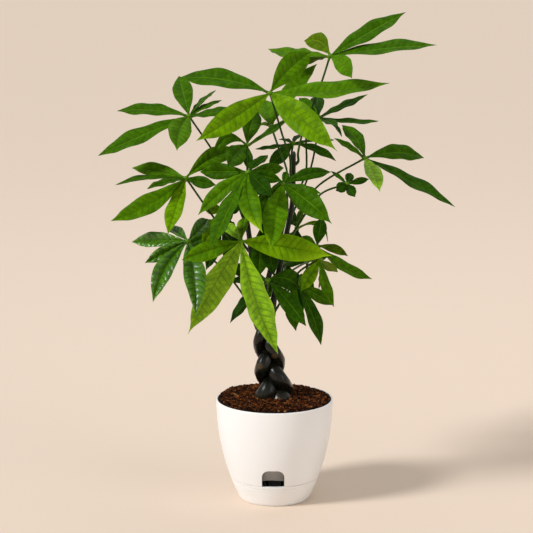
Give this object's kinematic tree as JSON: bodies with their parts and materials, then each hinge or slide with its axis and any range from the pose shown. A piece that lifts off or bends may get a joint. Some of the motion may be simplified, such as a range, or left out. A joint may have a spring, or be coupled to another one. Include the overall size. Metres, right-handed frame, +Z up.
{
  "type": "potted money tree",
  "caption": "House plant with plaited dark trunks and long-stalked palmate leaves, growing in a round white self-watering pot with an arched water window.",
  "frame": {"origin": "centre of the pot's flat underside, on the surface that the pot stands on", "axes": "+Z up along the pot's axis, -Y towards the viewer through the water window, +X to the viewer's right"},
  "size_m": [0.3491, 0.2647, 0.4828],
  "materials": {
    "pot": "satin",
    "insert": "matte",
    "soil": "matte",
    "bark": "satin",
    "leaf_light": "satin",
    "leaf_dark": "satin"
  },
  "bodies": {
    "root": {"pot_shell": "pot", "pot_base": "pot", "soil_insert": "insert", "soil": "soil", "trunk_a": "bark", "trunk_b": "bark", "trunk_c": "bark", "leaf_01": "leaf_dark", "leaf_02": "leaf_light", "leaf_03": "leaf_dark", "leaf_04": "leaf_light", "leaf_05": "leaf_dark", "leaf_06": "leaf_dark", "leaf_07": "leaf_dark", "leaf_08": "leaf_dark", "leaf_09": "leaf_dark", "leaf_10": "leaf_light", "leaf_11": "leaf_dark", "leaf_12": "leaf_dark", "leaf_13": "leaf_dark", "leaf_14": "leaf_light", "leaf_15": "leaf_dark", "leaf_16": "leaf_dark", "leaf_17": "leaf_light", "leaf_18": "leaf_dark", "leaf_19": "leaf_dark", "leaf_20": "leaf_dark", "leaf_21": "leaf_dark", "leaf_22": "leaf_dark", "leaf_23": "leaf_dark", "leaf_24": "leaf_dark", "leaf_25": "leaf_dark", "leaf_26": "leaf_dark"}
  },
  "joints": []
}
